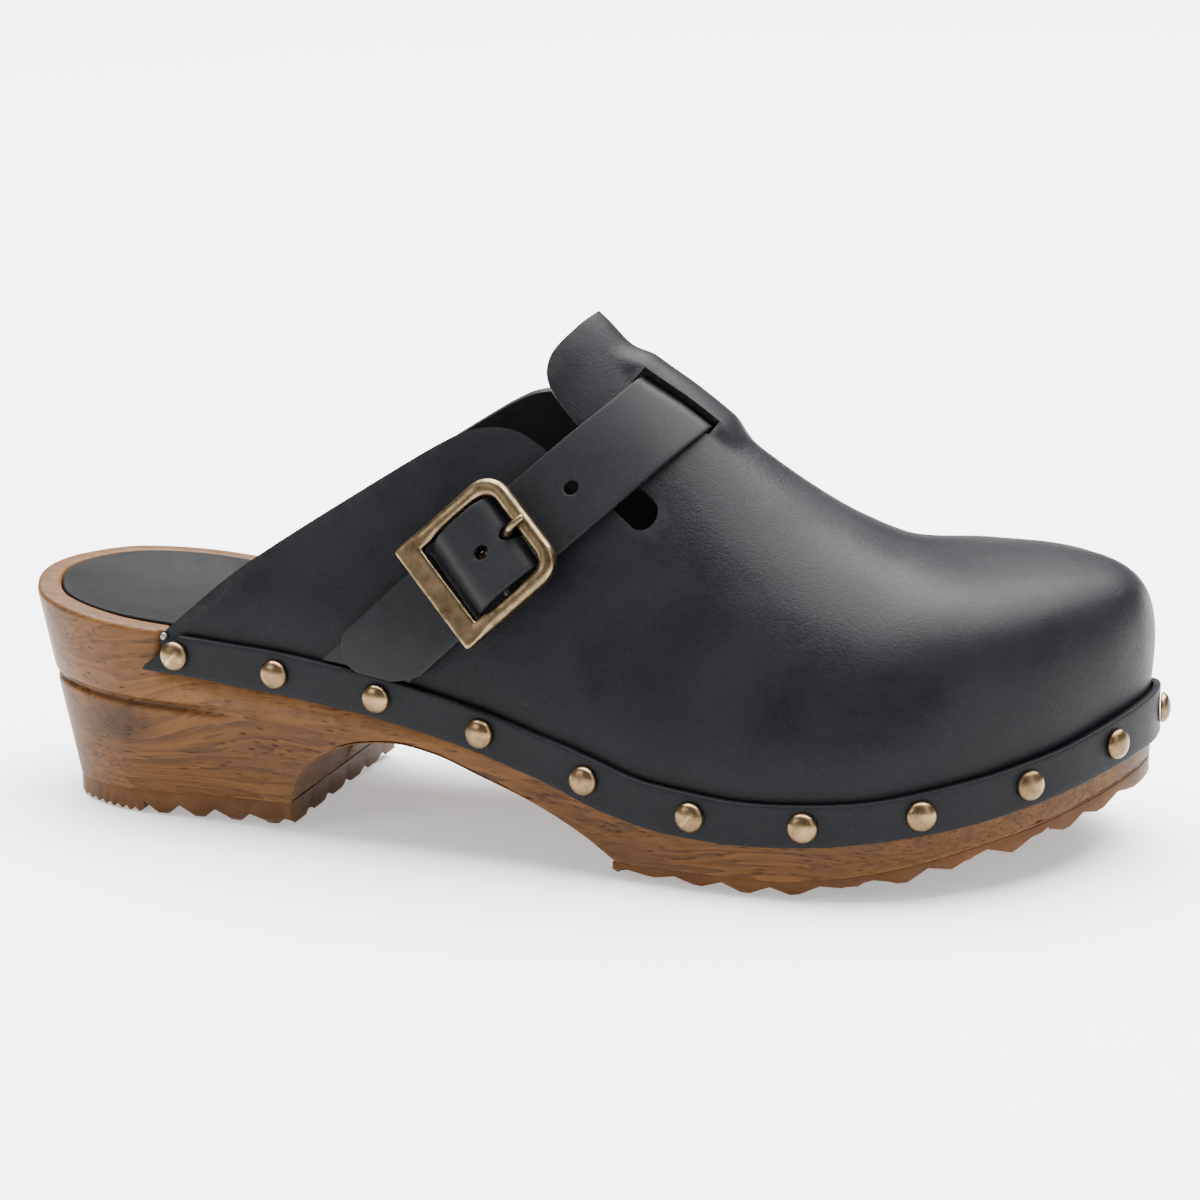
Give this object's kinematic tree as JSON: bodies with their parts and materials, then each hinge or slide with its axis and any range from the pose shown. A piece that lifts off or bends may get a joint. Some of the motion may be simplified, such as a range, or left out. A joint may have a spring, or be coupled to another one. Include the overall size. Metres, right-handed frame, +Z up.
{
  "type": "wooden clog",
  "caption": "Right-foot wooden clog: wooden sole with rubber treads, one-piece leather upper nailed on under a studded rand, and a buckled instep strap.",
  "frame": {"origin": "middle of the clog's bounding box in plan, on the ground under the treads", "axes": "+X from the heel to the toe, +Y to the wearer's left (the inner side of this right shoe), +Z up"},
  "size_m": [0.2684, 0.1034, 0.1183],
  "materials": {
    "wood": "satin stained wood",
    "tread_rubber": "matte, slightly translucent",
    "insole_foam": "matte foam",
    "insole_leather": "matte grained",
    "leather": "oiled, soft gloss",
    "brass": "antique satin",
    "steel": "dull"
  },
  "bodies": {
    "clog": {"buckle_chape": "leather", "corner_nail_far": "steel", "corner_nail_near": "steel", "forefoot_tread": "tread_rubber", "heel_tread": "tread_rubber", "insole_cover": "insole_leather", "insole_foam": "insole_foam", "rand": "leather", "strap": "leather", "stud_01": "brass", "stud_02": "brass", "stud_03": "brass", "stud_04": "brass", "stud_05": "brass", "stud_06": "brass", "stud_07": "brass", "stud_08": "brass", "stud_09": "brass", "stud_10": "brass", "stud_11": "brass", "stud_12": "brass", "stud_13": "brass", "stud_14": "brass", "stud_15": "brass", "stud_16": "brass", "stud_17": "brass", "stud_18": "brass", "stud_19": "brass", "stud_20": "brass", "upper": "leather", "wooden_sole": "wood"},
    "buckle": {"buckle_frame": "brass", "buckle_bar": "steel"},
    "prong": {"prong": "brass"}
  },
  "joints": [
    {"name": "buckle_tilt", "type": "hinge", "parent": "clog", "child": "buckle", "pos_m": [-0.00834, -0.03912, 0.06975], "axis": [-0.6875, 0.2385, 0.6858], "range_deg": [-1.5, 1.5]},
    {"name": "prong_lift", "type": "hinge", "parent": "buckle", "child": "prong", "pos_m": [-0.00834, -0.03912, 0.06975], "axis": [-0.6875, 0.2385, 0.6858], "range_deg": [-3, 0]}
  ]
}
